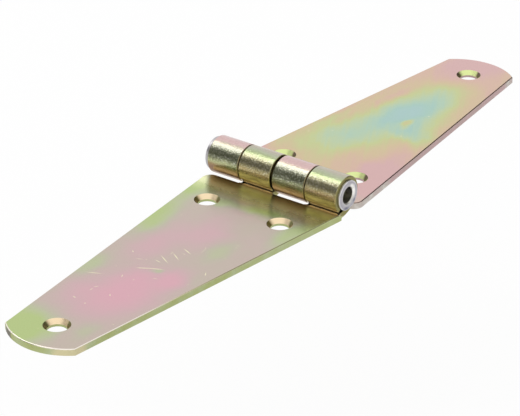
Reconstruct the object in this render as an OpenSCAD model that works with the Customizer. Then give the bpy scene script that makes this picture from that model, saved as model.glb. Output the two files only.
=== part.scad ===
// Triangle strap hinge: two tapered leaves of sheet steel, each with two
// knuckles rolled from the same sheet, held together by one riveted pin.
// Both leaves are the same part, turned half a turn about the vertical axis.
// The hinge lies open on its underside: X runs along the leaves, Y along the
// pin, Z is up, and the origin is on the underside plane below the pin.

/* [Leaf] */
// Distance from the pin axis to the rounded tip
leaf_len = 100; // [70:1:160]
// Width of the leaf, measured where its tapered sides would meet the pin axis
hinge_w = 42.8; // [36:0.1:60]
// Width of the leaf at the two corners of its tip
tip_w = 21.5; // [14:0.1:30]
// How far the curved tip stands out beyond its two corners
tip_bow = 4.2; // [2:0.1:7]
// Thickness of the sheet
sheet_t = 1.8; // [1.2:0.1:2.6]
// Radius of the outer corner beside the other leaf's end knuckle
shoulder_r = 2.5; // [1:0.1:4]
// Radius of the soft upper edge that the blanking tool leaves
edge_r = 0.4; // [0.1:0.05:0.6]

/* [Knuckles] */
// Length of one inner knuckle with its share of the gaps
inner_knuckle = 10.5; // [8:0.1:13]
// How far the ends of the knuckles lie inside the sides of the leaf
barrel_inset = 0.55; // [0.1:0.05:2]
// Gap between two knuckles when the leaves are centred on each other
knuckle_gap = 0.5; // [0.3:0.05:1]
// How far the far leaf has slid along the pin within those gaps
end_slip = 0.25; // [0:0.05:0.25]
// How far the knuckle's lowest line lies above the underside of the leaf
knuckle_rise = 0.95; // [0.6:0.05:1.5]
// How much larger the radius of the first, gentle bend is than the knuckle's
lead_in = 5; // [4:0.1:8]
// Height of the rolled end above the face of its own leaf
seam_gap = 0.2; // [0.1:0.05:0.5]
// Radius of the two corners of the rolled end
tab_r = 0.6; // [0.2:0.1:1]
// Radius of the outer edges at both ends of a knuckle
rim_r = 0.35; // [0.1:0.05:0.5]
// Radial space between a knuckle and the notch in the other leaf
notch_gap = 0.6; // [0.4:0.05:1.2]
// Radius of the inner corners of a notch
notch_r = 0.6; // [0.2:0.1:0.7]

/* [Pin] */
// Diameter of the pin
pin_d = 6.4; // [4:0.1:7]
// Radial clearance of the pin in the knuckles
pin_fit = 0.05; // [0.02:0.01:0.1]
// Axial play between the pin's ends and the outermost knuckles
pin_play = 0.05; // [0.02:0.01:0.2]
// Diameter of the formed head at the far end
head_d = 9; // [7.6:0.1:10]
// Thickness of the formed head
head_t = 0.8; // [0.5:0.1:1.5]
// Rounding of the outer edge of the head
head_edge = 0.3; // [0.1:0.05:0.4]
// Wall of the hollow tail
tail_wall = 1; // [0.5:0.05:1.5]
// Depth of the hollow, measured from the rolled rim
hollow_depth = 10; // [4:0.5:20]
// Diameter of the rim that is rolled over at the tail
rim_d = 8.1; // [7.6:0.1:9.5]
// Thickness of the rolled rim
rim_t = 0.5; // [0.4:0.05:1]
// Rounding of the outer edge of the rolled rim
rim_edge = 0.2; // [0.1:0.05:0.35]
// Radius at the mouth of the hollow, where its wall turns over into the rim
lip_r = 0.55; // [0.1:0.05:0.6]

/* [Screw holes] */
// Diameter of the straight part of each hole
hole_d = 4.9; // [3:0.1:6]
// Diameter of the countersink on the upper face
sink_d = 6.8; // [6.2:0.1:9]
// Height of the straight part below the countersink
land = 0.6; // [0.3:0.1:1]
// Distance of the single hole from the tip
tip_hole_in = 10.4; // [8:0.1:20]
// Distance of the pair of holes from the pin axis
pair_x = 16.5; // [14:0.1:30]
// Distance between the two holes of the pair
pair_gap = 23.1; // [14:0.1:26]

/* [Hidden] */
$fn = 64;
// Facets of the small radii on edges and corners
fine = 20;
// Overlap of a cutting shape beyond the face that it cuts
past = 1;
// Angle by which the soft edge of the tip runs on past its two corners
past_angle = 4;
// Angle by which each end of the first bend is buried in the sheet beside it
bury_angle = 1;
// The sheet is drawn this much thinner on each face where it is first bent
bend_thin = 0.01;
// A rounded corner lies this far inside the straight edges that it joins
corner_step = 0.01;
// Share of its radius by which a rounding crosses each of the faces it joins
bite = 0.05;
// Least step between the first bend and the corners of a notch
min_step = 0.1;
// Height of the cone at the bottom of the hollow, as a share of its radius
cone_share = 1 / 2;

// Lengths that come from a calculation are kept to a thousandth, as on a drawing
function neat(length) = round(length * 1000) / 1000;

// Knuckle: bore, outer radius and height of the pin axis
bore_r = pin_d / 2 + pin_fit;
knuckle_r = bore_r + sheet_t;
axis_z = knuckle_r + knuckle_rise;

// First bend: it starts where the flat ends and meets the knuckle's own
// circle at bend_end, where both have the same tangent
lead_r = knuckle_r + lead_in;
flat_x = neat(sqrt(2 * knuckle_rise * lead_in - knuckle_rise * knuckle_rise));
bend_end = atan2(axis_z - lead_r, flat_x);
// The sheet ends just above its own upper face, on the leaf's side of the pin
roll_end = 180 + asin((axis_z - sheet_t - seam_gap) / knuckle_r);

// Notch: its upper edge keeps notch_gap from the other leaf's knuckles
notch_reach = sqrt(pow(knuckle_r + notch_gap, 2) - pow(axis_z - sheet_t, 2));
notch_x = neat(max(notch_reach, flat_x + 2 * min_step));
notch_corner = min(notch_r, notch_x - flat_x - min_step);

// Tapered outline
tip_x = leaf_len - tip_bow;
taper = (hinge_w - tip_w) / 2 / tip_x;
taper_angle = atan(taper);
tip_r = neat((tip_w * tip_w / 4 + tip_bow * tip_bow) / (2 * tip_bow));
tip_centre = leaf_len - tip_r;
tip_half_angle = asin(tip_w / 2 / tip_r);
function half_w(x) = neat(hinge_w / 2 - taper * x);
shoulder_x = notch_x + shoulder_r;
shoulder_y = neat(half_w(shoulder_x) - shoulder_r / cos(taper_angle));

// Knuckle ends along the pin, for a leaf that is centred
half_gap = knuckle_gap / 2;
joint_y = inner_knuckle;
barrel_y = half_w(flat_x) - barrel_inset;

// Pin: inner faces of its head and its rolled rim, and the hollow
grip_y = barrel_y + pin_play;
hollow_r = pin_d / 2 - tail_wall;

// Depth of the countersink
sink_depth = sheet_t - land;

zinc_yellow = "#c8bfae";
zinc_grey = "#aaa8b9";

// Section of a cutter that rounds an edge: x and y point out of the two faces
// that meet in the edge, and the circle crosses both of them
module edge_section(r) {
    centre = r * (bite - 1);
    difference() {
        translate([centre, centre])
            square([past - centre, past - centre]);
        translate([centre, centre])
            circle(r = r, $fn = fine);
    }
}

// Straight cutter for a soft edge: it runs along +X from the origin, and
// takes the corner off a body that lies below and on the -Y side of it
module edge_cutter(length) {
    rotate([90, 0, 90])
        linear_extrude(length)
            edge_section(edge_r);
}

// The same cutter along an arc of radius r about the origin
module round_edge_cutter(r, from, to) {
    rotate([0, 0, from])
        rotate_extrude(angle = to - from)
            translate([r, 0])
                edge_section(edge_r);
}

// Tapered strap, from the first bend at -flat_x outwards to its curved tip
module strap_blank() {
    difference() {
        linear_extrude(sheet_t)
            polygon([
                [-flat_x, half_w(flat_x)],
                [-leaf_len - past, half_w(leaf_len + past)],
                [-leaf_len - past, -half_w(leaf_len + past)],
                [-flat_x, -half_w(flat_x)]
            ]);
        translate([-tip_centre, 0, -past])
            difference() {
                translate([-tip_r - 2 * past, -tip_r, 0])
                    cube([tip_r + 2 * past, 2 * tip_r, sheet_t + 2 * past]);
                translate([0, 0, -past])
                    cylinder(r = tip_r, h = sheet_t + 4 * past, $fn = 128);
            }
    }
}

// Room for one knuckle of the other leaf, from y0 to y1, with round corners
module notch(y0, y1) {
    translate([-notch_x, 0, -past]) {
        translate([0, y0 + notch_corner, 0])
            cube([notch_x, y1 - y0 - 2 * notch_corner, sheet_t + 2 * past]);
        translate([notch_corner, y0, 0])
            cube([notch_x, y1 - y0, sheet_t + 2 * past]);
        for (y = [y0 + notch_corner, y1 - notch_corner])
            translate([notch_corner, y, 0])
                cylinder(r = notch_corner, h = sheet_t + 2 * past, $fn = fine);
    }
}

// Takes the corner off the strap beside the other leaf's end knuckle
module shoulder_cutter() {
    reach = shoulder_r + shoulder_x;
    translate([-shoulder_x, shoulder_y, -past])
        difference() {
            linear_extrude(sheet_t + 2 * past)
                polygon([
                    [0, 0],
                    [reach, 0],
                    [reach, reach],
                    [-reach * sin(taper_angle), reach * cos(taper_angle)]
                ]);
            translate([0, 0, -past])
                cylinder(r = shoulder_r - corner_step, h = sheet_t + 4 * past);
        }
}

// Soft upper edges along the sides, the tip, the shoulder and the notches
module soft_edges() {
    translate([0, 0, sheet_t]) {
        // Side beyond the shoulder
        translate([-tip_x, tip_w / 2, 0])
            rotate([0, 0, taper_angle])
                translate([-past, 0, 0])
                    edge_cutter((tip_x - shoulder_x) / cos(taper_angle) + past);
        // Side that runs on to the leaf's own end knuckle
        translate([-flat_x, -half_w(flat_x), 0])
            rotate([0, 0, 180 - taper_angle])
                translate([-past, 0, 0])
                    edge_cutter((tip_x - flat_x) / cos(taper_angle) + 2 * past);
        translate([-tip_centre, 0, 0])
            round_edge_cutter(
                tip_r,
                180 - tip_half_angle - past_angle,
                180 + tip_half_angle + past_angle
            );
        translate([-shoulder_x, shoulder_y, 0])
            round_edge_cutter(shoulder_r - corner_step, 0, 90 + taper_angle);
        // Edges that face the other leaf's knuckles
        translate([-notch_x, shoulder_y + shoulder_r, 0])
            rotate([0, 0, -90])
                edge_cutter(shoulder_y + shoulder_r - joint_y + half_gap - notch_corner);
        translate([-notch_x, half_gap - notch_corner, 0])
            rotate([0, 0, -90])
                edge_cutter(joint_y + knuckle_gap - 2 * notch_corner);
    }
}

// Countersunk screw hole at x, y
module screw_hole(x, y) {
    sink_r = sink_d / 2;
    hole_r = hole_d / 2;
    slope = (sink_r - hole_r) / sink_depth;
    translate([x, y, -past])
        cylinder(r = hole_r, h = sheet_t + 2 * past);
    translate([x, y, sheet_t - sink_depth])
        cylinder(r1 = hole_r, r2 = sink_r + slope * past, h = sink_depth + past);
}

// One knuckle from y0 to y1: the sheet leaves the flat in a gentle bend,
// passes under the pin and rolls round it back to the face of its own leaf
module knuckle(y0, y1) {
    width = y1 - y0;
    translate([-flat_x, y1 - bend_thin, lead_r])
        rotate([90, 0, 0])
            rotate([0, 0, -90 - bury_angle])
                rotate_extrude(angle = bend_end + 90 + 2 * bury_angle)
                    wall_section(
                        lead_r - sheet_t + bend_thin,
                        lead_r - bend_thin,
                        width - 2 * bend_thin
                    );
    difference() {
        translate([0, y1, axis_z])
            rotate([90, 0, 0])
                rotate([0, 0, bend_end])
                    rotate_extrude(angle = roll_end - bend_end)
                        wall_section(bore_r, knuckle_r, width);
        rolled_end_corner(y0, 1);
        rolled_end_corner(y1, -1);
    }
}

// Section of the bent sheet: x is the radius, y runs along the pin
module wall_section(inner, outer, width) {
    difference() {
        translate([inner, 0])
            square([outer - inner, width]);
        translate([outer, width])
            edge_section(rim_r);
        translate([outer, 0])
            mirror([0, 1])
                edge_section(rim_r);
    }
}

// Rounds one corner of the rolled end; side points into the knuckle
module rolled_end_corner(y, side) {
    mean_r = bore_r + sheet_t / 2;
    back = tab_r / mean_r * 180 / PI;
    translate([0, y, axis_z])
        rotate([0, back - roll_end, 0])
            difference() {
                translate([0, side > 0 ? -past : -tab_r, 0])
                    cube([lead_r, tab_r + past, 2 * tab_r]);
                translate([-past, side * tab_r * (1 - bite), 0])
                    rotate([0, 90, 0])
                        cylinder(r = tab_r, h = lead_r + 2 * past, $fn = fine);
            }
}

// One leaf in its own place, reaching out along -X from the pin
module leaf() {
    union() {
        difference() {
            strap_blank();
            notch(joint_y - half_gap, hinge_w);
            notch(-joint_y - half_gap, half_gap);
            shoulder_cutter();
            soft_edges();
            screw_hole(tip_hole_in - leaf_len, 0);
            screw_hole(-pair_x, pair_gap / 2);
            screw_hole(-pair_x, -pair_gap / 2);
        }
        knuckle(half_gap, joint_y - half_gap);
        knuckle(-barrel_y, -joint_y - half_gap);
    }
}

module near_leaf() {
    color(zinc_yellow)
        leaf();
}

module far_leaf() {
    color(zinc_yellow)
        translate([0, -end_slip, 0])
            rotate([0, 0, 180])
                leaf();
}

// Flare at the mouth of the hollow, whose outer face is at height top
module mouth(top) {
    rotate_extrude()
        translate([hollow_r, top])
            mirror([1, 0])
                edge_section(lip_r);
}

// Rounds the outer edge of a disc of radius r whose face is at height top
module turned_edge(r, top, edge) {
    rotate_extrude()
        translate([r, top])
            edge_section(edge);
}

// Pin, built upright with its tail at the top and laid along -Y
module hinge_pin() {
    top = grip_y + rim_t;
    bottom = -grip_y - head_t;
    cone_h = hollow_r * cone_share;
    color(zinc_grey)
        translate([0, 0, axis_z])
            rotate([90, 0, 0])
                difference() {
                    union() {
                        translate([0, 0, bottom])
                            cylinder(d = head_d, h = head_t);
                        translate([0, 0, bottom])
                            cylinder(d = pin_d, h = top - bottom);
                        translate([0, 0, grip_y])
                            cylinder(d = rim_d, h = rim_t);
                    }
                    translate([0, 0, top - hollow_depth])
                        cylinder(r = hollow_r, h = hollow_depth + past);
                    translate([0, 0, top - hollow_depth - cone_h])
                        cylinder(r1 = 0, r2 = hollow_r, h = cone_h);
                    mouth(top);
                    turned_edge(rim_d / 2, top, rim_edge);
                    mirror([0, 0, 1])
                        turned_edge(head_d / 2, -bottom, head_edge);
                }
}

near_leaf();
far_leaf();
hinge_pin();
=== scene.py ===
"""Looks of a triangle hinge: yellow-passivated leaves and a bare zinc rivet pin."""

import logging
import math
from dataclasses import dataclass, replace
from enum import Enum
from typing import Any, Mapping, Sequence

import bmesh
import bpy
from mathutils import Matrix, Vector

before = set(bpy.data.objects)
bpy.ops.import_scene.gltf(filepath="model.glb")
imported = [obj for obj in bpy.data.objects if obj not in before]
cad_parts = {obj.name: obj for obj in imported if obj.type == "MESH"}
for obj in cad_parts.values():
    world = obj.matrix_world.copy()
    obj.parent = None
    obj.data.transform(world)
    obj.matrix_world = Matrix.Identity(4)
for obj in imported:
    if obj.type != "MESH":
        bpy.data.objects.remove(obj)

log = logging.getLogger("triangle_hinge")

MM = 0.001
Socket = bpy.types.NodeSocket


class Side(Enum):
    """The two leaves, by the name of their CAD node."""

    NEAR = "near_leaf"
    FAR = "far_leaf"


def to_linear(code: str) -> tuple[float, float, float, float]:
    """Turns an sRGB hex colour into linear RGBA.

    Args:
        code: Colour such as "c8bfae".

    Returns:
        Linear red, green, blue and an alpha of one.
    """
    parts = [int(code[i : i + 2], 16) / 255 for i in (0, 2, 4)]
    linear = [c / 12.92 if c <= 0.04045 else ((c + 0.055) / 1.055) ** 2.4 for c in parts]
    return (linear[0], linear[1], linear[2], 1.0)


@dataclass(frozen=True)
class Tint:
    """A colour at one place along a colour band."""

    at: float
    colour: str


@dataclass(frozen=True)
class Spot:
    """A soft ellipse on a leaf, in millimetres in the row's frame.

    The turn is in degrees, and amount is what the ellipse adds to the field.
    """

    x: float
    y: float
    half_length: float
    half_width: float
    turn: float = 0.0
    amount: float = 1.0


def add_node(
    tree: bpy.types.NodeTree,
    kind: str,
    inputs: Mapping[Any, Any] | None = None,
    settings: Mapping[str, Any] | None = None,
    tints: Sequence[Tint] = (),
) -> bpy.types.Node:
    """Adds a node with its settings, values and links.

    Args:
        tree: Node tree to add to.
        kind: Blender's identifier of the node.
        inputs: Input name or index, with a value or the socket to link from.
        settings: Attributes of the node itself.
        tints: Colour stops, for a colour ramp.

    Returns:
        The new node.
    """
    node = tree.nodes.new(kind)
    for name, value in (settings or {}).items():
        setattr(node, name, value)
    for key, value in (inputs or {}).items():
        if isinstance(value, Socket):
            tree.links.new(value, node.inputs[key])
        else:
            node.inputs[key].default_value = value
    for index, tint in enumerate(tints):
        stops = node.color_ramp.elements
        stop = stops[index] if index < 2 else stops.new(tint.at)
        stop.position = tint.at
        stop.color = to_linear(tint.colour)
    return node


@dataclass(frozen=True)
class ZincMetal:
    """What the two zinc finishes share: a metal whose nodes read millimetres."""

    name: str

    def start(self) -> tuple[bpy.types.Material, bpy.types.NodeTree, bpy.types.Node]:
        """Makes an empty metal.

        Returns:
            The material, its node tree and its shader node.
        """
        material = bpy.data.materials.new(self.name)
        material.use_nodes = True
        tree = material.node_tree
        shader = tree.nodes["Principled BSDF"]
        shader.inputs["Metallic"].default_value = 1.0
        return material, tree, shader

    def millimetres(self, tree: bpy.types.NodeTree) -> Socket:
        """Object coordinates in millimetres.

        Args:
            tree: Node tree to add to.

        Returns:
            The coordinates.
        """
        place = add_node(tree, "ShaderNodeTexCoord")
        scaled = add_node(
            tree,
            "ShaderNodeVectorMath",
            {0: place.outputs["Object"], "Scale": 1 / MM},
            {"operation": "SCALE"},
        )
        return scaled.outputs[0]

    def sum_of_spots(
        self, tree: bpy.types.NodeTree, place: Socket, spots: Sequence[Spot]
    ) -> Socket:
        """Adds up soft ellipses.

        Args:
            tree: Node tree to add to.
            place: Coordinates in millimetres.
            spots: Ellipses to add up.

        Returns:
            The field, zero away from every ellipse.
        """
        total: Any = 0.0
        for spot in spots:
            local = add_node(
                tree,
                "ShaderNodeMapping",
                {
                    "Vector": place,
                    "Location": (spot.x, spot.y, 0.0),
                    "Rotation": (0.0, 0.0, math.radians(spot.turn)),
                    "Scale": (spot.half_length, spot.half_width, 1000.0),
                },
                {"vector_type": "TEXTURE"},
            )
            ball = add_node(
                tree,
                "ShaderNodeTexGradient",
                {"Vector": local.outputs[0]},
                {"gradient_type": "SPHERICAL"},
            )
            eased = add_node(
                tree,
                "ShaderNodeMapRange",
                {"Value": ball.outputs["Fac"], "To Max": spot.amount},
                {"interpolation_type": "SMOOTHERSTEP"},
            )
            total = add_node(
                tree,
                "ShaderNodeMath",
                {0: eased.outputs[0], 1: total},
                {"operation": "ADD"},
            ).outputs[0]
        return total


@dataclass(frozen=True)
class YellowChromateOnZinc(ZincMetal):
    """Yellow chromate passivation on electroplated zinc, over blanked steel sheet.

    The clear film is a fraction of a wavelength thick and was rinsed unevenly,
    so the grey zinc shows through tinted from pink over ochre to green and cyan.
    """

    film_base: float = 0.3
    film: tuple[Tint, ...] = ()
    spots: tuple[Spot, ...] = ()
    clouds: float = 0.22
    streaks: float = 0.07
    grain_turn: float = 0.0
    drift_reach: tuple[float, float, float] = (8.0, 6.0, 0.0)

    # Scratches and specks show the bare zinc, where noise passes the limits.
    marks: tuple[Spot, ...] = ()
    bared: str = "efe9c4"
    speck_limits: tuple[float, float] = (0.83, 0.9)
    speck_most: float = 0.5

    # Countersinks, with a film tint brightened to paint their highlight, and painted
    # shade on two sides of each.
    holes: tuple[Spot, ...] = ()
    countersink_tint_and_highlight: str = "e0cfa2"
    painted_sink_shade: tuple[Spot, ...] = ()
    painted_sink_shade_tint: str = "6a6640"

    # The heel, from the pin outwards, with slanting scuffs; its near-white tints are
    # painted fill light.
    pressed_and_fill_light: tuple[Spot, ...] = ()
    heel_tint_and_fill_light: tuple[Tint, ...] = ()
    scuff_turn: float = 38.0
    scuff_limits: tuple[float, float] = (0.4, 0.6)
    scuff_least: float = 0.8

    # The soft edge leans by this angle, and counts within this much of it.
    # Its tints are painted highlight and shade, lighter towards the tip.
    rim_highlight_and_shade: tuple[Tint, ...] = ()
    rim_lean: float = 45.0
    rim_spread: float = 0.18

    # Sheared sides and knuckle ends, picked by how far the normal lies over.
    end_tint: str = "857f4c"
    # Spots of painted highlight and shade on the sides.
    edge_painted_light_spots: tuple[Spot, ...] = ()
    edges: tuple[Tint, ...] = ()
    edge_clouds: float = 0.6
    edge_base: float = 0.2
    upward_limits: tuple[float, float] = (0.1, 0.3)
    side_limits: tuple[float, float] = (0.65, 0.25)
    end_limits: tuple[float, float] = (0.4, 0.8)

    # Knuckles: colour by the turn round the pin, with painted reflection in dark bands
    # and a painted bright fill low down, and painted glints and dark specks for the
    # skin's grain, which show most about 60 degrees down from the top, at 0.67 of a turn.
    rolled: tuple[Tint, ...] = ()
    wander: float = 0.06
    # The grain's light and dark tints are painted glints and specks.
    painted_glint: str = "f2f1e0"
    painted_dark_speck: str = "454331"
    grain_most: float = 0.4
    grain_least: float = 0.08
    lit_limits: tuple[float, float] = (0.5, 0.72)
    dim_limits: tuple[float, float] = (0.5, 0.3)
    stretch_middle: float = 0.67
    stretch_half: float = 0.05
    stretch_fade: float = 0.04

    # Roughness of the faces, and of the heel, countersinks, sides, knuckles.
    satin: tuple[float, float] = (0.18, 0.27)
    duller: tuple[float, float, float, float] = (0.29, 0.36, 0.42, 0.17)

    # Relief of the sheet and of the knuckles' skin.
    relief_strengths: tuple[float, float] = (0.06, 0.5)
    relief_mm: float = 0.12

    # Sizes of the hinge in millimetres.
    pin_height: float = 6.0
    barrel_reach: float = 5.5
    barrel_fade: float = 0.3
    reach: float = 100.0

    # Sizes of the patterns in real millimetres. Rinsing left clouds as wide as
    # a finger, the rollers drew the sheet's grain out along X, and the die's
    # scuffs are a few millimetres long.
    drift_mm: float = 11.0
    cloud_mm: float = 11.0
    grain_mm: tuple[float, float, float] = (20.0, 1.4, 4.0)
    scuff_mm: tuple[float, float, float] = (5.0, 1.4, 5.0)
    haze_mm: float = 6.0
    edge_mm: float = 3.0
    wander_mm: float = 4.0
    # The real specks and the skin's grain are about 0.1 mm across. They are
    # drawn coarser here, because anything finer is lost between the pixels.
    speck_mm: float = 1.0
    sheet_mm: float = 0.8
    skin_mm: float = 0.36
    sparkle_mm: float = 0.36

    def build(self) -> bpy.types.Material:
        """Makes the material.

        Returns:
            The finished material.
        """
        material, tree, shader = self.start()
        place = self.millimetres(tree)
        pressed_and_fill_light = self.pressed_and_fill_light_share(tree, place)
        sunk = self.sunk_share(tree, place)
        barrel = self.barrel_share(tree, place)
        cut, ends = self.cut_shares(tree, barrel)
        colour = self.face_colour(tree, place)
        for share, other in (
            # The heel: scuffed, and brightened with painted fill light.
            (pressed_and_fill_light, self.along_leaf(tree, place, self.heel_tint_and_fill_light)),
            (self.scratched(tree, place), to_linear(self.bared)),
            # The soft edge: painted highlight and shade.
            (self.rim_share(tree), self.along_leaf(tree, place, self.rim_highlight_and_shade)),
            # Countersinks: film tint brightened to paint their highlight, then painted
            # shade.
            (sunk, to_linear(self.countersink_tint_and_highlight)),
            (self.painted_sink_shade_share(tree, place, sunk), to_linear(self.painted_sink_shade_tint)),
            # Knuckles: film tint with painted reflection, glints and specks.
            (barrel, self.rolled_colour(tree, place)),
            # Sheared sides: film tints with painted highlight and shade.
            (cut, self.edge_colour(tree, place)),
            (ends, to_linear(self.end_tint)),
        ):
            mixed = add_node(
                tree,
                "ShaderNodeMix",
                {0: share, 6: colour, 7: other},
                {"data_type": "RGBA"},
            )
            colour = mixed.outputs[2]
        tree.links.new(colour, shader.inputs["Base Color"])
        self.roughness(tree, place, shader, (pressed_and_fill_light, sunk, cut, barrel))
        self.relief(tree, place, shader, barrel)
        return material

    def face_colour(self, tree: bpy.types.NodeTree, place: Socket) -> Socket:
        """Colour of the flat faces, from the thickness of the film.

        Args:
            tree: Node tree to add to.
            place: Coordinates in millimetres.

        Returns:
            The colour.
        """
        drift = add_node(
            tree,
            "ShaderNodeTexNoise",
            {"Vector": place, "Scale": 1 / self.drift_mm, "Detail": 2.0},
        )
        centred = add_node(
            tree,
            "ShaderNodeVectorMath",
            {0: drift.outputs["Color"], 1: (0.5, 0.5, 0.5)},
            {"operation": "SUBTRACT"},
        )
        warped = add_node(
            tree,
            "ShaderNodeVectorMath",
            {0: centred.outputs[0], 1: self.drift_reach, 2: place},
            {"operation": "MULTIPLY_ADD"},
        )
        patches = self.sum_of_spots(tree, warped.outputs[0], self.spots)
        cloud = add_node(
            tree,
            "ShaderNodeTexNoise",
            {"Vector": place, "Scale": 1 / self.cloud_mm, "Detail": 3.0},
        )
        drawn_out = add_node(
            tree,
            "ShaderNodeMapping",
            {
                "Vector": place,
                "Rotation": (0.0, 0.0, math.radians(self.grain_turn)),
                "Scale": self.grain_mm,
            },
            {"vector_type": "TEXTURE"},
        )
        streak = add_node(
            tree, "ShaderNodeTexNoise", {"Vector": drawn_out.outputs[0], "Scale": 1.0}
        )
        thick = add_node(
            tree,
            "ShaderNodeMath",
            {0: cloud.outputs["Fac"], 1: self.clouds, 2: patches},
            {"operation": "MULTIPLY_ADD"},
        )
        thick = add_node(
            tree,
            "ShaderNodeMath",
            {0: streak.outputs["Fac"], 1: self.streaks, 2: thick.outputs[0]},
            {"operation": "MULTIPLY_ADD"},
        )
        thick = add_node(
            tree,
            "ShaderNodeMath",
            {0: thick.outputs[0], 1: self.film_base - (self.clouds + self.streaks) / 2},
            {"operation": "ADD"},
        )
        ramp = add_node(
            tree, "ShaderNodeValToRGB", {"Fac": thick.outputs[0]}, tints=self.film
        )
        return ramp.outputs["Color"]

    def scratched(self, tree: bpy.types.NodeTree, place: Socket) -> Socket:
        """Share of bright, bare zinc: the large scratches and stray specks.

        Args:
            tree: Node tree to add to.
            place: Coordinates in millimetres.

        Returns:
            The share from zero to one.
        """
        large = self.sum_of_spots(tree, place, self.marks)
        speck = add_node(
            tree,
            "ShaderNodeTexNoise",
            {"Vector": place, "Scale": 1 / self.speck_mm, "Detail": 0.0},
        )
        stray = add_node(
            tree,
            "ShaderNodeMapRange",
            {
                "Value": speck.outputs["Fac"],
                "From Min": self.speck_limits[0],
                "From Max": self.speck_limits[1],
                "To Max": self.speck_most,
            },
        )
        both = add_node(
            tree,
            "ShaderNodeMath",
            {0: large, 1: stray.outputs[0]},
            {"operation": "ADD", "use_clamp": True},
        )
        return both.outputs[0]

    def sunk_share(self, tree: bpy.types.NodeTree, place: Socket) -> Socket:
        """Share of the countersinks, with a narrow border, from above only.

        Args:
            tree: Node tree to add to.
            place: Coordinates in millimetres.

        Returns:
            One inside a countersink and zero outside.
        """
        field_sum = self.sum_of_spots(tree, place, self.holes)
        sharp = add_node(
            tree,
            "ShaderNodeMapRange",
            {"Value": field_sum, "From Min": 0.0, "From Max": 0.00001},
        )
        coords = add_node(tree, "ShaderNodeTexCoord")
        axes = add_node(tree, "ShaderNodeSeparateXYZ", {0: coords.outputs["Normal"]})
        upward = add_node(
            tree,
            "ShaderNodeMapRange",
            {
                "Value": axes.outputs["Z"],
                "From Min": self.upward_limits[0],
                "From Max": self.upward_limits[1],
            },
        )
        share = add_node(
            tree,
            "ShaderNodeMath",
            {0: sharp.outputs[0], 1: upward.outputs[0]},
            {"operation": "MULTIPLY"},
        )
        return share.outputs[0]

    def pressed_and_fill_light_share(self, tree: bpy.types.NodeTree, place: Socket) -> Socket:
        """Share of the heel, which the bending die pressed and scuffed, and which gets
        painted fill light.

        Args:
            tree: Node tree to add to.
            place: Coordinates in millimetres.

        Returns:
            The share from zero to one.
        """
        slanted = add_node(
            tree,
            "ShaderNodeMapping",
            {
                "Vector": place,
                "Rotation": (0.0, 0.0, math.radians(self.scuff_turn)),
                "Scale": self.scuff_mm,
            },
            {"vector_type": "TEXTURE"},
        )
        scuffs = add_node(
            tree,
            "ShaderNodeTexNoise",
            {"Vector": slanted.outputs[0], "Scale": 1.0, "Detail": 4.0},
        )
        kept = add_node(
            tree,
            "ShaderNodeMapRange",
            {
                "Value": scuffs.outputs["Fac"],
                "From Min": self.scuff_limits[0],
                "From Max": self.scuff_limits[1],
                "To Min": self.scuff_least,
            },
        )
        share = add_node(
            tree,
            "ShaderNodeMath",
            {0: self.sum_of_spots(tree, place, self.pressed_and_fill_light), 1: kept.outputs[0]},
            {"operation": "MULTIPLY", "use_clamp": True},
        )
        return share.outputs[0]

    def rim_share(self, tree: bpy.types.NodeTree) -> Socket:
        """Share of the soft edge round the top, where the sheet was blanked, which gets
        painted highlight and shade.

        Args:
            tree: Node tree to add to.

        Returns:
            One where the edge leans about as far as rim_lean says.
        """
        coords = add_node(tree, "ShaderNodeTexCoord")
        axes = add_node(tree, "ShaderNodeSeparateXYZ", {0: coords.outputs["Normal"]})
        lean = add_node(
            tree,
            "ShaderNodeMath",
            {
                0: axes.outputs["Z"],
                1: math.cos(math.radians(self.rim_lean)),
                2: self.rim_spread,
            },
            {"operation": "COMPARE"},
        )
        return lean.outputs[0]

    def along_leaf(
        self, tree: bpy.types.NodeTree, place: Socket, tints: Sequence[Tint]
    ) -> Socket:
        """Colour that changes from the pin to the tip.

        Args:
            tree: Node tree to add to.
            place: Coordinates in millimetres.
            tints: Colours from zero at the pin to one at the tip.

        Returns:
            The colour.
        """
        axes = add_node(tree, "ShaderNodeSeparateXYZ", {0: place})
        along = add_node(
            tree, "ShaderNodeMath", {0: axes.outputs["X"]}, {"operation": "ABSOLUTE"}
        )
        share = add_node(
            tree,
            "ShaderNodeMath",
            {0: along.outputs[0], 1: 1 / self.reach},
            {"operation": "MULTIPLY"},
        )
        ramp = add_node(
            tree, "ShaderNodeValToRGB", {"Fac": share.outputs[0]}, tints=tints
        )
        return ramp.outputs["Color"]

    def painted_sink_shade_share(
        self, tree: bpy.types.NodeTree, place: Socket, sunk: Socket
    ) -> Socket:
        """Share of the painted shade in a countersink.

        Args:
            tree: Node tree to add to.
            place: Coordinates in millimetres.
            sunk: One inside a countersink.

        Returns:
            The share from zero to one.
        """
        share = add_node(
            tree,
            "ShaderNodeMath",
            {0: self.sum_of_spots(tree, place, self.painted_sink_shade), 1: sunk},
            {"operation": "MULTIPLY", "use_clamp": True},
        )
        return share.outputs[0]

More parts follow.
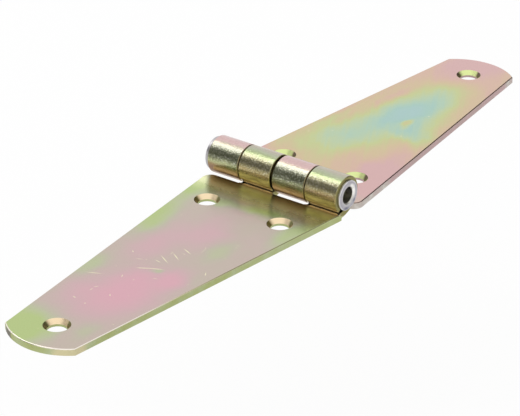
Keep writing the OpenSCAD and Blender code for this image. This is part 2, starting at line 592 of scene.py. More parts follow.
    def cut_shares(
        self, tree: bpy.types.NodeTree, barrel: Socket
    ) -> tuple[Socket, Socket]:
        """Shares of sheared sheet: the upright sides and the knuckles' ends.

        Args:
            tree: Node tree to add to.
            barrel: One on the knuckles.

        Returns:
            The share of the sides and the share of the ends.
        """
        coords = add_node(tree, "ShaderNodeTexCoord")
        axes = add_node(tree, "ShaderNodeSeparateXYZ", {0: coords.outputs["Normal"]})
        flatness = add_node(
            tree, "ShaderNodeMath", {0: axes.outputs["Z"]}, {"operation": "ABSOLUTE"}
        )
        side = add_node(
            tree,
            "ShaderNodeMapRange",
            {
                "Value": flatness.outputs[0],
                "From Min": self.side_limits[0],
                "From Max": self.side_limits[1],
            },
        )
        side_only = add_node(
            tree, "ShaderNodeMix", {0: barrel, 2: side.outputs[0], 3: 0.0}
        )
        endwise = add_node(
            tree, "ShaderNodeMath", {0: axes.outputs["Y"]}, {"operation": "ABSOLUTE"}
        )
        end = add_node(
            tree,
            "ShaderNodeMapRange",
            {
                "Value": endwise.outputs[0],
                "From Min": self.end_limits[0],
                "From Max": self.end_limits[1],
            },
        )
        end_only = add_node(
            tree,
            "ShaderNodeMath",
            {0: end.outputs[0], 1: barrel},
            {"operation": "MULTIPLY"},
        )
        return side_only.outputs[0], end_only.outputs[0]

    def edge_colour(self, tree: bpy.types.NodeTree, place: Socket) -> Socket:
        """Colour of the sheared sides: film taken unevenly, with painted highlight and
        shade from the spots.

        Args:
            tree: Node tree to add to.
            place: Coordinates in millimetres.

        Returns:
            The colour.
        """
        spots = self.sum_of_spots(tree, place, self.edge_painted_light_spots)
        cloud = add_node(
            tree,
            "ShaderNodeTexNoise",
            {"Vector": place, "Scale": 1 / self.edge_mm, "Detail": 3.0},
        )
        field_sum = add_node(
            tree,
            "ShaderNodeMath",
            {0: cloud.outputs["Fac"], 1: self.edge_clouds, 2: spots},
            {"operation": "MULTIPLY_ADD"},
        )
        centred = add_node(
            tree,
            "ShaderNodeMath",
            {0: field_sum.outputs[0], 1: self.edge_base},
            {"operation": "ADD"},
        )
        ramp = add_node(
            tree, "ShaderNodeValToRGB", {"Fac": centred.outputs[0]}, tints=self.edges
        )
        return ramp.outputs["Color"]

    def about_pin(self, tree: bpy.types.NodeTree, place: Socket) -> tuple[Socket, Socket]:
        """Where a point lies round the pin.

        Args:
            tree: Node tree to add to.
            place: Coordinates in millimetres.

        Returns:
            Its height above the pin and its X, in millimetres.
        """
        axes = add_node(tree, "ShaderNodeSeparateXYZ", {0: place})
        height = add_node(
            tree,
            "ShaderNodeMath",
            {0: axes.outputs["Z"], 1: self.pin_height},
            {"operation": "SUBTRACT"},
        )
        return height.outputs[0], axes.outputs["X"]

    def barrel_share(self, tree: bpy.types.NodeTree, place: Socket) -> Socket:
        """Share of the rolled knuckles, fading out along the first bend.

        Args:
            tree: Node tree to add to.
            place: Coordinates in millimetres.

        Returns:
            One on a knuckle and zero on the flat sheet.
        """
        height, across = self.about_pin(tree, place)
        offset = add_node(tree, "ShaderNodeCombineXYZ", {"X": across, "Z": height})
        radius = add_node(
            tree, "ShaderNodeVectorMath", {0: offset.outputs[0]}, {"operation": "LENGTH"}
        )
        share = add_node(
            tree,
            "ShaderNodeMapRange",
            {
                "Value": radius.outputs["Value"],
                "From Min": self.barrel_reach,
                "From Max": self.barrel_reach + self.barrel_fade,
                "To Min": 1.0,
                "To Max": 0.0,
            },
        )
        return share.outputs[0]

    def rolled_colour(self, tree: bpy.types.NodeTree, place: Socket) -> Socket:
        """Colour of a knuckle, which changes round the pin: film tint with painted
        reflection, dark bands and a bright fill low down.

        Args:
            tree: Node tree to add to.
            place: Coordinates in millimetres.

        Returns:
            The colour.
        """
        height, across = self.about_pin(tree, place)
        turn = add_node(
            tree, "ShaderNodeMath", {0: across, 1: height}, {"operation": "ARCTAN2"}
        )
        share = add_node(
            tree,
            "ShaderNodeMapRange",
            {"Value": turn.outputs[0], "From Min": math.pi, "From Max": -math.pi},
        )
        wander = add_node(
            tree, "ShaderNodeTexNoise", {"Vector": place, "Scale": 1 / self.wander_mm}
        )
        moved = add_node(
            tree,
            "ShaderNodeMath",
            {0: wander.outputs["Fac"], 1: self.wander, 2: share.outputs[0]},
            {"operation": "MULTIPLY_ADD"},
        )
        centred = add_node(
            tree,
            "ShaderNodeMath",
            {0: moved.outputs[0], 1: self.wander / 2},
            {"operation": "SUBTRACT"},
        )
        ramp = add_node(
            tree, "ShaderNodeValToRGB", {"Fac": centred.outputs[0]}, tints=self.rolled
        )
        return self.stretched(tree, place, share.outputs[0], ramp.outputs["Color"])

    def stretched(
        self, tree: bpy.types.NodeTree, place: Socket, turn: Socket, colour: Socket
    ) -> Socket:
        """Lays painted glints and dark specks, for the light on the stretched skin's
        grain, over a knuckle's colour.

        Args:
            tree: Node tree to add to.
            place: Coordinates in millimetres.
            turn: Share of a full turn round the pin, from zero to one.
            colour: Colour of the knuckle.

        Returns:
            The colour with its grain.
        """
        grain = add_node(
            tree,
            "ShaderNodeTexNoise",
            {"Vector": place, "Scale": 1 / self.sparkle_mm, "Detail": 1.0},
        )
        off_middle = add_node(
            tree,
            "ShaderNodeMath",
            {0: turn, 1: self.stretch_middle},
            {"operation": "SUBTRACT"},
        )
        away = add_node(
            tree, "ShaderNodeMath", {0: off_middle.outputs[0]}, {"operation": "ABSOLUTE"}
        )
        band = add_node(
            tree,
            "ShaderNodeMapRange",
            {
                "Value": away.outputs[0],
                "From Min": self.stretch_half,
                "From Max": self.stretch_half + self.stretch_fade,
                "To Min": self.grain_most,
                "To Max": self.grain_least,
            },
        )
        for tint, (low, high) in (
            (self.painted_glint, self.lit_limits),
            (self.painted_dark_speck, self.dim_limits),
        ):
            picked = add_node(
                tree,
                "ShaderNodeMapRange",
                {"Value": grain.outputs["Fac"], "From Min": low, "From Max": high},
            )
            share = add_node(
                tree,
                "ShaderNodeMath",
                {0: picked.outputs[0], 1: band.outputs[0]},
                {"operation": "MULTIPLY"},
            )
            mixed = add_node(
                tree,
                "ShaderNodeMix",
                {0: share.outputs[0], 6: colour, 7: to_linear(tint)},
                {"data_type": "RGBA"},
            )
            colour = mixed.outputs[2]
        return colour

    def roughness(
        self,
        tree: bpy.types.NodeTree,
        place: Socket,
        shader: bpy.types.Node,
        shares: Sequence[Socket],
    ) -> None:
        """Satin faces, then the pressed heel, countersinks, cut sides, knuckles.

        Args:
            tree: Node tree to add to.
            place: Coordinates in millimetres.
            shader: Shader to feed.
            shares: Shares of what follows in the order of self.duller.
        """
        haze = add_node(
            tree,
            "ShaderNodeTexNoise",
            {"Vector": place, "Scale": 1 / self.haze_mm, "Detail": 3.0},
        )
        rough = add_node(
            tree,
            "ShaderNodeMapRange",
            {
                "Value": haze.outputs["Fac"],
                "To Min": self.satin[0],
                "To Max": self.satin[1],
            },
        )
        for share, value in zip(shares, self.duller):
            rough = add_node(
                tree, "ShaderNodeMix", {0: share, 2: rough.outputs[0], 3: value}
            )
        tree.links.new(rough.outputs[0], shader.inputs["Roughness"])

    def relief(
        self,
        tree: bpy.types.NodeTree,
        place: Socket,
        shader: bpy.types.Node,
        barrel: Socket,
    ) -> None:
        """Rolling grain of the sheet, and the coarser skin of the bent knuckles.

        Args:
            tree: Node tree to add to.
            place: Coordinates in millimetres.
            shader: Shader to feed.
            barrel: One on the knuckles.
        """
        sheet = add_node(
            tree,
            "ShaderNodeTexNoise",
            {"Vector": place, "Scale": 1 / self.sheet_mm, "Detail": 3.0},
        )
        skin = add_node(
            tree,
            "ShaderNodeTexNoise",
            {"Vector": place, "Scale": 1 / self.skin_mm, "Detail": 1.0},
        )
        height = add_node(
            tree,
            "ShaderNodeMix",
            {0: barrel, 2: sheet.outputs["Fac"], 3: skin.outputs["Fac"]},
        )
        flat, rolled = self.relief_strengths
        depth = add_node(tree, "ShaderNodeMix", {0: barrel, 2: flat, 3: rolled})
        bump = add_node(
            tree,
            "ShaderNodeBump",
            {
                "Height": height.outputs[0],
                "Strength": depth.outputs[0],
                "Distance": self.relief_mm * MM,
            },
        )
        tree.links.new(bump.outputs[0], shader.inputs["Normal"])


@dataclass(frozen=True)
class BareZincPlate(ZincMetal):
    """Bright zinc plate without passivation, on a turned and upset steel rivet.

    It is a dull, slightly lilac grey. Its tail has painted highlights at the lip and
    round the rim, where the tool rolled it over and tore it a little.
    """

    axis_height: float = 6.0
    reach: float = 5.0
    head_ring: float = 0.56
    # Torn and upset metal is patchy at about this size in millimetres.
    patch_mm: float = 0.9
    ragged: float = 0.16
    dull: tuple[float, float] = (0.2, 0.42)
    relief_strength: float = 0.8
    relief_mm: float = 0.15
    # Grey by radius, with painted highlights on the lip inside and at the outer edge.
    ring_tints_and_highlights: tuple[Tint, ...] = (
        Tint(0.0, "e6e2cc"),
        Tint(0.42, "d8d5c4"),
        Tint(0.47, "c6c4c0"),
        Tint(0.55, "bcbabb"),
        Tint(0.6, "b2afb5"),
        Tint(0.73, "a9a6ad"),
        Tint(0.785, "dad8da"),
        Tint(1.0, "c2c0c2"),
    )
    # Darker blue-grey patches on the tail.
    dark_patch_tint: str = "6e6e80"
    dark_patches: tuple[Spot, ...] = (
        Spot(-0.9, -3.4, 1.9, 0.8, -12.0, 0.9),
        Spot(2.6, -2.2, 1.0, 0.8, 40.0, 0.8),
        Spot(3.2, 1.2, 0.5, 1.2, 0.0, 0.5),
    )
    # Painted highlights on the tail, beside the hollow.
    painted_highlight_tint: str = "fbf9f4"
    painted_highlights: tuple[Spot, ...] = (
        Spot(2.4, 0.4, 1.1, 2.6, 0.0, 1.0),
        Spot(1.5, 2.2, 1.4, 0.9, -30.0, 0.8),
    )

    def build(self) -> bpy.types.Material:
        """Makes the material.

        Returns:
            The finished material.
        """
        material, tree, shader = self.start()
        place = self.millimetres(tree)
        axes = add_node(tree, "ShaderNodeSeparateXYZ", {0: place})
        height = add_node(
            tree,
            "ShaderNodeMath",
            {0: axes.outputs["Z"], 1: self.axis_height},
            {"operation": "SUBTRACT"},
        )
        across = add_node(
            tree,
            "ShaderNodeCombineXYZ",
            {"X": axes.outputs["X"], "Y": height.outputs[0]},
        )
        patchy = add_node(
            tree,
            "ShaderNodeTexNoise",
            {"Vector": place, "Scale": 1 / self.patch_mm, "Detail": 3.0},
        )
        radius = add_node(
            tree, "ShaderNodeVectorMath", {0: across.outputs[0]}, {"operation": "LENGTH"}
        )
        share = add_node(
            tree,
            "ShaderNodeMath",
            {0: radius.outputs["Value"], 1: 1 / self.reach},
            {"operation": "MULTIPLY"},
        )
        ragged = add_node(
            tree,
            "ShaderNodeMath",
            {0: patchy.outputs["Fac"], 1: self.ragged, 2: share.outputs[0]},
            {"operation": "MULTIPLY_ADD"},
        )
        centred = add_node(
            tree,
            "ShaderNodeMath",
            {0: ragged.outputs[0], 1: self.ragged / 2},
            {"operation": "SUBTRACT"},
        )
        on_head = add_node(
            tree, "ShaderNodeMapRange", {"Value": axes.outputs["Y"], "From Max": 1.0}
        )
        ring = add_node(
            tree,
            "ShaderNodeMix",
            {0: on_head.outputs[0], 2: centred.outputs[0], 3: self.head_ring},
        )
        ring_tints_and_highlights = add_node(
            tree, "ShaderNodeValToRGB", {"Fac": ring.outputs[0]}, tints=self.ring_tints_and_highlights
        )
        colour = ring_tints_and_highlights.outputs["Color"]
        for spots, tint in ((self.dark_patches, self.dark_patch_tint), (self.painted_highlights, self.painted_highlight_tint)):
            mixed = add_node(
                tree,
                "ShaderNodeMix",
                {
                    0: self.tail_only(tree, across.outputs[0], spots, on_head.outputs[0]),
                    6: colour,
                    7: to_linear(tint),
                },
                {"data_type": "RGBA"},
            )
            colour = mixed.outputs[2]
        tree.links.new(colour, shader.inputs["Base Color"])
        rough = add_node(
            tree,
            "ShaderNodeMapRange",
            {
                "Value": patchy.outputs["Fac"],
                "To Min": self.dull[0],
                "To Max": self.dull[1],
            },
        )
        tree.links.new(rough.outputs[0], shader.inputs["Roughness"])
        bump = add_node(
            tree,
            "ShaderNodeBump",
            {
                "Height": patchy.outputs["Fac"],
                "Strength": self.relief_strength,
                "Distance": self.relief_mm * MM,
            },
        )
        tree.links.new(bump.outputs[0], shader.inputs["Normal"])
        return material

    def tail_only(
        self,
        tree: bpy.types.NodeTree,
        across: Socket,
        spots: Sequence[Spot],
        on_head: Socket,
    ) -> Socket:
        """Darker patches and painted highlights, on the tail and not the head.

        Args:
            tree: Node tree to add to.
            across: Coordinates across the pin in millimetres.
            spots: The patches or painted highlights.
            on_head: One on the head's half of the pin.

        Returns:
            The share from zero to one.
        """
        share = add_node(
            tree,
            "ShaderNodeMix",
            {0: on_head, 2: self.sum_of_spots(tree, across, spots), 3: 0.0},
        )
        return share.outputs[0]


NEAR_FILM = (
    Tint(0.0, "d8a9b3"),
    Tint(0.3, "cdaeb0"),
    Tint(0.5, "c5b3ab"),
    Tint(0.65, "bfb8a6"),
    Tint(0.8, "bac09c"),
    Tint(1.0, "b4c585"),
)
FAR_FILM = (
    Tint(0.0, "d4aeac"),
    Tint(0.15, "d5b4a2"),
    Tint(0.3, "d1bd98"),
    Tint(0.42, "cac494"),
    Tint(0.52, "c4cb92"),
    Tint(0.63, "bccca4"),
    Tint(0.76, "b0cbb4"),
    Tint(0.88, "a6c8bd"),
    Tint(1.0, "a7c7c4"),
)
# Tints of the sheared sides; the darkest and lightest stops are painted shade and
# highlight.
NEAR_EDGES = (
    Tint(0.0, "62522e"),
    Tint(0.12, "7e7e78"),
    Tint(0.2, "86844c"),
    Tint(0.3, "adb272"),
    Tint(0.5, "b4bc84"),
    Tint(0.7, "bac398"),
    Tint(1.0, "d8cfa6"),
)
# Far side tints; the darkest stop is painted shade, the near-white one a painted
# highlight.
FAR_EDGES = (
    Tint(0.0, "62522e"),
    Tint(0.12, "8f8480"),
    Tint(0.35, "b6a29c"),
    Tint(0.6, "c3a6a5"),
    Tint(0.8, "c6beb6"),
    Tint(1.0, "f2eee8"),
)
# Near-white tints of the heel beside the knuckles: painted fill light.
NEAR_HEEL_FILL_LIGHT = (
    Tint(0.045, "ae9e7a"),
    Tint(0.05, "d0cea2"),
    Tint(0.06, "e6e6b8"),
    Tint(0.07, "f8fcc6"),
    Tint(0.09, "fafec8"),
    Tint(0.1, "e8eeb6"),
    Tint(0.12, "f8fcc2"),
)
FAR_HEEL = (
    Tint(0.0, "c8bcae"),
    Tint(1.0, "c8bcae"),
)
# Painted shade and highlight on the soft edge: a dark line by the pin, a bright line
# towards the tip.
NEAR_RIM_HIGHLIGHT_AND_SHADE = (
    Tint(0.0, "7c7a54"),
    Tint(0.45, "928e68"),
    Tint(0.6, "c6be9e"),
    Tint(0.75, "f4ece0"),
    Tint(1.0, "f8f0e6"),
)
# Painted shade on the far leaf's soft edge: a dark line.
FAR_RIM_SHADE = (
    Tint(0.0, "5e4a48"),
    Tint(0.6, "665250"),
    Tint(0.85, "846c6c"),
    Tint(1.0, "a08a88"),
)
# Near knuckle tints round the pin: film colour with painted reflection, dark bands and a
# near-white fill low down.
NEAR_ROLLED_REFLECTION = (
    Tint(0.0, "b39a50"),
    Tint(0.3, "c0b493"),
    Tint(0.43, "b8a690"),
    Tint(0.5, "b8b4a2"),
    Tint(0.53, "b6bca0"),
    Tint(0.567, "acb88a"),
    Tint(0.6, "a8a888"),
    Tint(0.62, "a8a17f"),
    Tint(0.67, "968e6c"),
    Tint(0.7, "9f9469"),
    Tint(0.735, "cbb47c"),
    Tint(0.767, "c4b07a"),
    Tint(0.8, "6c5d31"),
    Tint(0.833, "b4a160"),
    Tint(0.867, "fff4d8"),
    Tint(1.0, "ffe9c4"),
)
# Far knuckle tints round the pin: film colour with painted reflection in dark bands.
FAR_ROLLED_REFLECTION = (
    Tint(0.0, "b39a50"),
    Tint(0.3, "cba6a0"),
    Tint(0.46, "d2b2b0"),
    Tint(0.54, "dabbb8"),
    Tint(0.575, "ccc2ac"),
    Tint(0.6, "a4a494"),
    Tint(0.63, "8e9077"),
    Tint(0.66, "86896b"),
    Tint(0.695, "6b6e57"),
    Tint(0.735, "b4b888"),
    Tint(0.77, "9c8260"),
    Tint(0.8, "93755e"),
    Tint(0.84, "805e3e"),
    Tint(0.88, "a88860"),
    Tint(1.0, "b39a50"),
)


# Painted shade in a countersink, from the middle of a hole.
PAINTED_SINK_SHADE = (
    Spot(-2.0, 2.4, 3.6, 3.6, 0.0, 2.0),
    Spot(2.7, -2.4, 2.6, 2.6, 0.0, 1.5),
)


@dataclass
class StrapLeaf:
    """One leaf with its two rolled knuckles: a single piece of sheet."""

    side: Side
    slip: float = 0.0
    tip_hole: float = 89.6
    pair_x: float = 16.5
    pair_y: float = 11.55
    sink_r: float = 3.42

    def holes(self) -> tuple[Spot, ...]:
        """Outlines of the three countersinks.

        Returns:
            One round spot for each hole.
        """
        way = -1.0 if self.side is Side.NEAR else 1.0
        centres = (
            (self.tip_hole, 0.0),
            (self.pair_x, self.pair_y),
            (self.pair_x, -self.pair_y),
        )
        return tuple(
            Spot(way * x, y - self.slip, self.sink_r, self.sink_r) for x, y in centres
        )

    def painted_sink_shade(self) -> tuple[Spot, ...]:
        """Places in the countersinks that get painted shade.

        Returns:
            Two soft spots for each hole.
        """
        # Each film spot here is painted shade, moved to a hole's centre.
        return tuple(
            replace(film, x=hole.x + film.x, y=hole.y + film.y)
            for hole in self.holes()
            for film in PAINTED_SINK_SHADE
        )

    def dress(self, finish: YellowChromateOnZinc) -> None:
        """Gives the CAD node its finish.

        Args:
            finish: Finish of this leaf.
        """
        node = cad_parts[self.side.value]
        node.data.materials.clear()
        node.data.materials.append(finish.build())
        log.info("%s: %s, %d holes", self.side.value, finish.name, len(finish.holes))


@dataclass
class RivetPin:
    """The hollow-ended pin, with its formed head and its rolled rim."""

    node_name: str = "hinge_pin"

    def dress(self, finish: BareZincPlate) -> None:
        """Gives the CAD node its finish.

        Args:
            finish: Finish of the pin.
        """
        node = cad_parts[self.node_name]
        node.data.materials.clear()
        node.data.materials.append(finish.build())
        log.info("%s: %s", self.node_name, finish.name)


@dataclass(frozen=True)
class Panel:
    """A flat panel round the hinge that faces it.

    The azimuth from +X and the elevation are in degrees, the rest in metres.
    """

    azimuth: float
    elevation: float
    distance: float
    width: float
    height: float

    def place(self) -> Matrix:
        """Turns a panel that lies at the origin and takes it to its place.

        Returns:
            The transform.
        """
        a, e = math.radians(self.azimuth), math.radians(self.elevation)
        way = Vector((math.cos(a) * math.cos(e), math.sin(a) * math.cos(e), math.sin(e)))
        turn = way.to_track_quat("Z", "Y").to_matrix().to_4x4()
        return Matrix.Translation(way * self.distance) @ turn


@dataclass
class Studio:
    """Pale floor, white tent, one soft box and the camera of the photograph."""

    # The camera, in degrees, millimetres and pixels of the photograph.
    azimuth: float = -53.582
    elevation: float = 26.903
    roll: float = 0.06
    distance: float = 698.353
    shift_right: float = -5.511
    shift_up: float = -3.516
    focal_px: float = 2695.343
    image_width: int = 520
    sensor: float = 36.0
    clip: tuple[float, float] = (0.01, 20.0)
    floor_half: float = 3.0
    # The floor lies this many millimetres down, which is below the far leaf's
    # tip at the lower limit of its swing. Seen, it is mostly plain white.
    floor_drop: float = 66.0
    floor_white: float = 0.9
    box: Panel = Panel(101.0, 57.0, 0.9, 0.36, 0.5)
    box_watts: float = 0.95
    cards: tuple[Panel, ...] = (
        Panel(142.0, 29.5, 0.95, 0.6, 0.6),
        Panel(-20.0, 20.0, 0.95, 0.74, 0.74),
    )
    card_grey: str = "999999"
    floor_paint: str = "f9f9f9"
    white: str = "ffffff"

    def build(self) -> None:
        """Makes the floor, the light and the camera."""
        self.floor()
        self.light()
        self.camera()
        scene = bpy.context.scene
        scene.view_settings.view_transform = "Standard"

    def floor(self) -> None:
        """A plain pale floor that looks white and keeps a faint shadow."""
        mesh = bpy.data.meshes.new("floor")
        form = bmesh.new()
        bmesh.ops.create_grid(form, x_segments=1, y_segments=1, size=self.floor_half)
        form.transform(Matrix.Translation((0.0, 0.0, -self.floor_drop * MM)))
        form.to_mesh(mesh)
        form.free()
        floor = bpy.data.objects.new("floor", mesh)
        bpy.context.scene.collection.objects.link(floor)
        # Matt paint scatters evenly, so the floor has a shadow and no shine.
        material = bpy.data.materials.new("matt_white_floor_paint")
        material.use_nodes = True
        tree = material.node_tree
        tree.nodes.clear()
        paint = add_node(
            tree, "ShaderNodeBsdfDiffuse", {"Color": to_linear(self.floor_paint)}
        )
        glow = add_node(tree, "ShaderNodeEmission", {"Color": to_linear(self.white)})
        path = add_node(tree, "ShaderNodeLightPath")
        seen = add_node(
            tree,
            "ShaderNodeMath",
            {0: path.outputs["Is Camera Ray"], 1: path.outputs["Is Glossy Ray"]},
            {"operation": "MAXIMUM"},
        )
        seen = add_node(
            tree,
            "ShaderNodeMath",
            {0: seen.outputs[0], 1: path.outputs["Is Transmission Ray"]},
            {"operation": "MAXIMUM"},
        )
        share = add_node(
            tree,
            "ShaderNodeMath",
            {0: seen.outputs[0], 1: self.floor_white},
            {"operation": "MULTIPLY"},
        )
        mixed = add_node(
            tree,
            "ShaderNodeMixShader",
            {0: share.outputs[0], 1: paint.outputs[0], 2: glow.outputs[0]},
        )
        add_node(tree, "ShaderNodeOutputMaterial", {"Surface": mixed.outputs[0]})
        mesh.materials.append(material)
        log.info("floor: %.1f m wide, %.0f mm down", 2 * self.floor_half, self.floor_drop)

    def light(self) -> None:
        """White tent with one overhead soft box and two grey cards."""
        world = bpy.data.worlds.new("white tent")
        bpy.context.scene.world = world
        world.use_nodes = True
        tent = world.node_tree.nodes["Background"]
        tent.inputs["Color"].default_value = to_linear(self.white)
        tent.inputs["Strength"].default_value = 1.0
        self.soft_box()
        for number, panel in enumerate(self.cards):
            self.card(f"grey_card_{number}", panel)

    def soft_box(self) -> None:
        """Area lamp overhead, which the tops of the knuckles mirror."""
        data = bpy.data.lights.new("overhead_soft_box", "AREA")
        data.shape = "RECTANGLE"
        data.size, data.size_y = self.box.width, self.box.height
        data.energy = self.box_watts
        lamp = bpy.data.objects.new("overhead_soft_box", data)
        bpy.context.scene.collection.objects.link(lamp)
        lamp.matrix_world = self.box.place()
        log.info("soft box: %.2f W", self.box_watts)

    def card(self, name: str, panel: Panel) -> None:
        """Grey card outside the picture, which the metal mirrors.

        Args:
            name: Name of the card.
            panel: Its size and place.
        """
        mesh = bpy.data.meshes.new(name)
        form = bmesh.new()
        bmesh.ops.create_grid(form, x_segments=1, y_segments=1, size=0.5)
        size = Matrix.Diagonal((panel.width, panel.height, 1.0, 1.0))
        form.transform(panel.place() @ size)
        form.to_mesh(mesh)
        form.free()
        # Uncoated card has no shine, so it is the same grey from every side.
        material = bpy.data.materials.new("uncoated_grey_card")
        material.use_nodes = True
        shader = material.node_tree.nodes["Principled BSDF"]
        shader.inputs["Base Color"].default_value = to_linear(self.card_grey)
        shader.inputs["Roughness"].default_value = 1.0
        shader.inputs["Specular IOR Level"].default_value = 0.0
        mesh.materials.append(material)
        card = bpy.data.objects.new(name, mesh)
        card.visible_camera = False
        bpy.context.scene.collection.objects.link(card)
        log.info("%s: %.2f by %.2f m", name, panel.width, panel.height)

    def camera(self) -> None:
        """Camera at the photograph's viewing angle."""
        a, e, r = (math.radians(v) for v in (self.azimuth, self.elevation, self.roll))
        level_part = math.cos(e)
        back = Vector((math.sin(a) * level_part, -math.cos(a) * level_part, math.sin(e)))
        level = Vector((0.0, 0.0, 1.0)).cross(back).normalized()
        upright = back.cross(level)
        right = level * math.cos(r) + upright * math.sin(r)
        up = upright * math.cos(r) - level * math.sin(r)
        spot = back * self.distance + right * self.shift_right + up * self.shift_up
        data = bpy.data.cameras.new("camera")
        data.sensor_fit = "HORIZONTAL"
        data.sensor_width = self.sensor
        data.lens = self.focal_px * self.sensor / self.image_width
        data.clip_start, data.clip_end = self.clip
        camera = bpy.data.objects.new("camera", data)
        turn = Matrix((right, up, back)).transposed().to_4x4()
        camera.matrix_world = Matrix.Translation(spot * MM) @ turn
        bpy.context.scene.collection.objects.link(camera)
        bpy.context.scene.camera = camera
        log.info("camera: lens %.1f mm", data.lens)


NEAR_SPOTS = (
    Spot(-68.0, -2.0, 25.0, 16.0, -4.0, -0.55),
    Spot(-55.0, -8.5, 11.0, 6.0, 6.0, -0.4),
    Spot(-43.0, 7.5, 18.0, 9.0, 0.0, -0.3),
    Spot(-31.0, 0.5, 17.0, 9.0, 10.0, -0.3),
    Spot(-74.0, 8.0, 14.0, 7.0, 0.0, -0.15),
    Spot(-95.0, 7.0, 15.0, 15.0, 0.0, 0.6),
    Spot(-62.0, 14.0, 11.0, 6.0, 5.0, 0.3),
    Spot(-30.0, 17.0, 22.0, 8.0, 6.0, 0.42),
    Spot(-12.0, 18.0, 10.0, 9.0, 0.0, 0.5),
    Spot(-14.5, -5.0, 5.0, 12.0, 0.0, 0.5),
    Spot(-15.0, 8.0, 4.0, 9.0, 0.0, 0.3),
    Spot(-4.0, 16.0, 8.0, 5.0, 0.0, 0.4),
    Spot(-18.0, -18.5, 18.0, 6.0, -6.0, 0.4),
    Spot(-38.0, -8.5, 10.0, 5.0, 0.0, 0.2),
    Spot(-54.6, -2.4, 2.6, 2.2, 0.0, 0.45),
    Spot(-89.0, -7.0, 7.0, 5.0, 0.0, 0.2),
)
FAR_SPOTS = (
    Spot(57.0, -1.5, 36.0, 20.0, 0.0, 0.52),
    Spot(57.0, -1.0, 18.0, 10.0, -8.0, 0.3),
    Spot(48.5, -8.0, 12.0, 7.0, 0.0, 0.25),
    Spot(33.0, 6.0, 24.0, 13.0, 0.0, 0.42),
    Spot(31.0, 14.0, 26.0, 8.0, -6.0, 0.1),
    Spot(75.0, -3.0, 16.0, 10.0, 8.0, 0.18),
    Spot(51.3, -4.7, 4.4, 2.4, 0.0, -0.42),
    Spot(18.0, -16.0, 24.0, 9.0, 6.0, -0.45),
    Spot(12.0, 20.0, 12.0, 6.0, 0.0, -0.45),
    Spot(12.0, 3.0, 9.0, 12.0, 0.0, -0.2),
    Spot(97.0, 2.0, 26.0, 16.0, 0.0, -0.28),
    Spot(25.0, 16.5, 12.0, 3.5, -4.0, 0.06),
    Spot(45.0, 14.0, 16.0, 3.0, -5.0, 0.16),
    Spot(58.0, 9.0, 6.0, 1.6, 30.0, -0.12),
    Spot(46.0, -13.5, 12.0, 5.0, 4.0, 0.25),
    Spot(66.0, 8.5, 14.0, 3.6, -5.0, -0.2),
)
# Painted shade on the sides by the pin and at the tip's left, painted highlight round the
# tip and along the front side.
NEAR_EDGE_PAINTED_LIGHT = (
    Spot(-7.0, 0.0, 3.5, 4.0, 0.0, -0.9),
    Spot(-97.5, 8.5, 5.0, 5.0, 0.0, -0.45),
    Spot(-96.0, -9.0, 9.0, 8.0, 0.0, 0.6),
    Spot(-30.0, -18.0, 34.0, 6.0, 6.0, 0.12),
)
# Painted highlight on the far leaf's side by the shoulder and near the tip.
FAR_EDGE_PAINTED_LIGHT = (
    Spot(8.0, -20.0, 30.0, 8.0, 0.0, 0.34),
    Spot(96.0, -11.0, 9.0, 6.0, 0.0, 0.3),
)
NEAR_MARKS = (
    Spot(-55.6, 1.6, 2.0, 0.22, -58.0, 0.9),
    Spot(-53.8, -1.8, 2.2, 0.22, -61.0, 0.9),
    Spot(-54.8, 0.3, 4.2, 0.26, -60.0, 0.8),
    Spot(-50.5, 0.7, 1.5, 0.2, 81.0, 0.9),
    Spot(-48.8, 0.0, 3.2, 0.24, 60.0, 1.0),
    Spot(-46.0, -1.4, 2.8, 0.24, 58.0, 1.0),
    Spot(-45.1, 0.6, 1.2, 0.2, 13.0, 0.5),
    Spot(-42.2, -2.0, 2.5, 0.24, 68.0, 1.0),
    Spot(-43.8, -2.2, 0.8, 0.2, 63.0, 0.5),
    Spot(-52.3, 5.1, 1.3, 0.18, -67.0, 0.6),
    Spot(-64.5, 9.5, 3.0, 0.24, -66.0, 0.9),
    Spot(-61.6, 3.0, 0.9, 0.22, 23.0, 0.8),
    Spot(-71.3, 4.7, 0.9, 0.2, -2.0, 0.7),
    Spot(-69.5, 4.6, 1.0, 0.2, -35.0, 0.7),
    Spot(-70.9, -0.8, 0.8, 0.24, 40.0, 0.8),
    Spot(-76.7, 5.5, 0.9, 0.24, 73.0, 0.9),
    Spot(-48.9, -12.8, 1.3, 0.22, 32.0, 1.0),
    Spot(-50.1, 8.9, 0.7, 0.24, 52.0, 0.9),
    Spot(-58.0, -4.4, 1.1, 0.18, -76.0, 0.6),
    Spot(-39.7, -5.0, 2.4, 0.14, 10.0, 0.3),
    Spot(-38.2, -4.6, 1.3, 0.14, 40.0, 0.3),
    Spot(-32.3, -10.2, 1.0, 0.16, -63.0, 0.5),
    Spot(-11.5, -8.5, 3.4, 0.16, 30.0, 0.5),
    Spot(-9.0, -9.6, 2.6, 0.14, 24.0, 0.4),
)


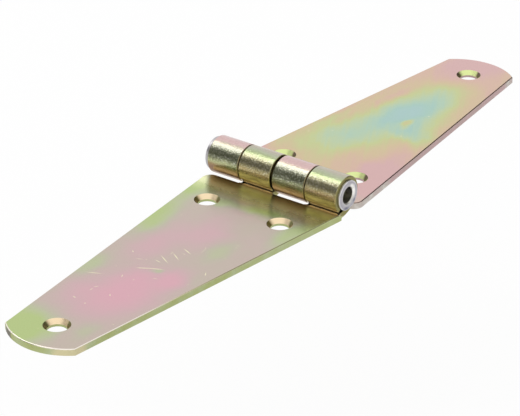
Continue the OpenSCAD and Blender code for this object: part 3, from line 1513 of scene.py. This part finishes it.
def near_finish(leaf: StrapLeaf) -> YellowChromateOnZinc:
    """Finish of the near leaf: grey-beige with pink down the middle.

    Args:
        leaf: The leaf, which knows where its holes are.

    Returns:
        The finish.
    """
    return YellowChromateOnZinc(
        name="yellow_chromate_on_zinc_plated_steel_near",
        film_base=0.54,
        film=NEAR_FILM,
        spots=NEAR_SPOTS,
        marks=NEAR_MARKS,
        holes=leaf.holes(),
        countersink_tint_and_highlight="ffe6c0",
        painted_sink_shade=leaf.painted_sink_shade(),
        pressed_and_fill_light=(Spot(-4.5, 0.0, 11.0, 60.0, 0.0, 1.7),),
        heel_tint_and_fill_light=NEAR_HEEL_FILL_LIGHT,
        rim_highlight_and_shade=NEAR_RIM_HIGHLIGHT_AND_SHADE,
        edge_painted_light_spots=NEAR_EDGE_PAINTED_LIGHT,
        edges=NEAR_EDGES,
        rolled=NEAR_ROLLED_REFLECTION,
    )


def far_finish(leaf: StrapLeaf) -> YellowChromateOnZinc:
    """Finish of the far leaf: salmon round a long green and cyan area.

    Args:
        leaf: The leaf, which knows where its holes are.

    Returns:
        The finish.
    """
    return YellowChromateOnZinc(
        name="yellow_chromate_on_zinc_plated_steel_far",
        film_base=0.2,
        film=FAR_FILM,
        spots=FAR_SPOTS,
        marks=(),
        holes=leaf.holes(),
        countersink_tint_and_highlight="e6f4a6",
        painted_sink_shade=leaf.painted_sink_shade(),
        painted_sink_shade_tint="5c4c3c",
        rim_highlight_and_shade=FAR_RIM_SHADE,
        end_tint="8a7a58",
        pressed_and_fill_light=(Spot(5.0, 0.0, 6.0, 60.0, 0.0, 0.7),),
        heel_tint_and_fill_light=FAR_HEEL,
        edge_painted_light_spots=FAR_EDGE_PAINTED_LIGHT,
        edges=FAR_EDGES,
        rolled=FAR_ROLLED_REFLECTION,
        streaks=0.22,
        grain_turn=28.0,
    )


def main() -> None:
    """Dresses the pieces in order and sets the stage."""
    logging.basicConfig(level=logging.INFO, format="%(message)s")
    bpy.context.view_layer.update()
    near = StrapLeaf(Side.NEAR)
    near.dress(near_finish(near))
    far = StrapLeaf(Side.FAR, slip=0.25)
    far.dress(far_finish(far))
    RivetPin().dress(BareZincPlate(name="bare_zinc_plated_steel_pin"))
    Studio().build()


if __name__ == "__main__":
    main()
